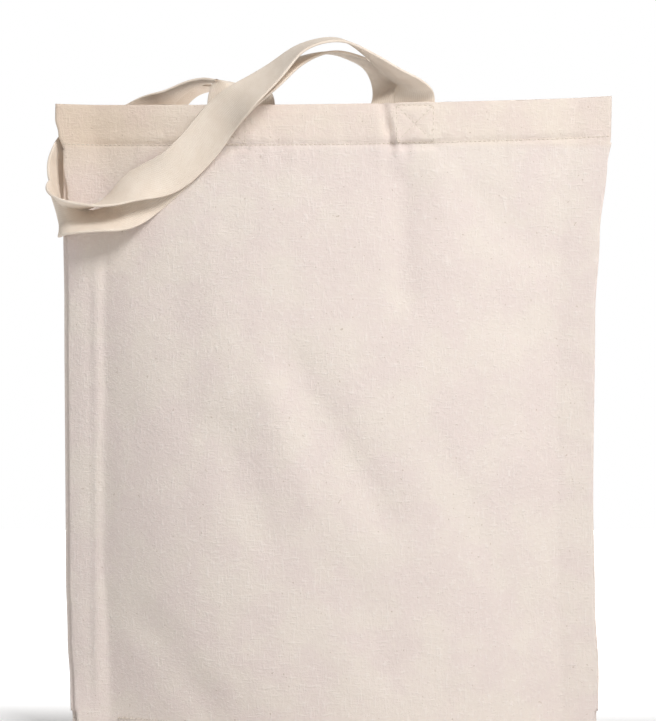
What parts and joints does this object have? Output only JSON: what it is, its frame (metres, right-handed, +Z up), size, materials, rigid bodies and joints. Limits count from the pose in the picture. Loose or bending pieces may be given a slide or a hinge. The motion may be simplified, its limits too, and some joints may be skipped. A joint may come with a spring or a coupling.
{
  "type": "canvas tote bag",
  "caption": "Flat-sided open-top canvas tote bag with a hemmed mouth, a standing base and webbing handles flopped over one side.",
  "frame": {"origin": "middle of the flat underside of the base", "axes": "+Z up towards the mouth, +X to the wearer's right along the mouth, and the front panel faces -Y"},
  "size_m": [0.3903, 0.0977, 0.4768],
  "materials": {
    "panel_canvas": "plain-weave natural cotton canvas, undyed, matt, with seed flecks",
    "base_canvas": "plain-weave natural cotton canvas, undyed, matt",
    "handle_webbing": "flat woven natural cotton webbing, a little more yellow than the canvas, matt",
    "stitch_thread": "natural cotton sewing thread",
    "overlock_thread": "natural cotton overlock thread"
  },
  "bodies": {
    "root": {"front_panel": "panel_canvas", "back_panel": "panel_canvas", "bottom_gusset": "base_canvas", "front_handle": "handle_webbing", "back_handle": "handle_webbing", "hem_stitch": "stitch_thread", "left_seam_overlock": "overlock_thread", "right_seam_overlock": "overlock_thread", "front_base_overlock": "overlock_thread", "back_base_overlock": "overlock_thread", "front_right_box_stitch": "stitch_thread", "front_left_box_stitch": "stitch_thread", "back_right_box_stitch": "stitch_thread", "back_left_box_stitch": "stitch_thread"}
  },
  "joints": []
}
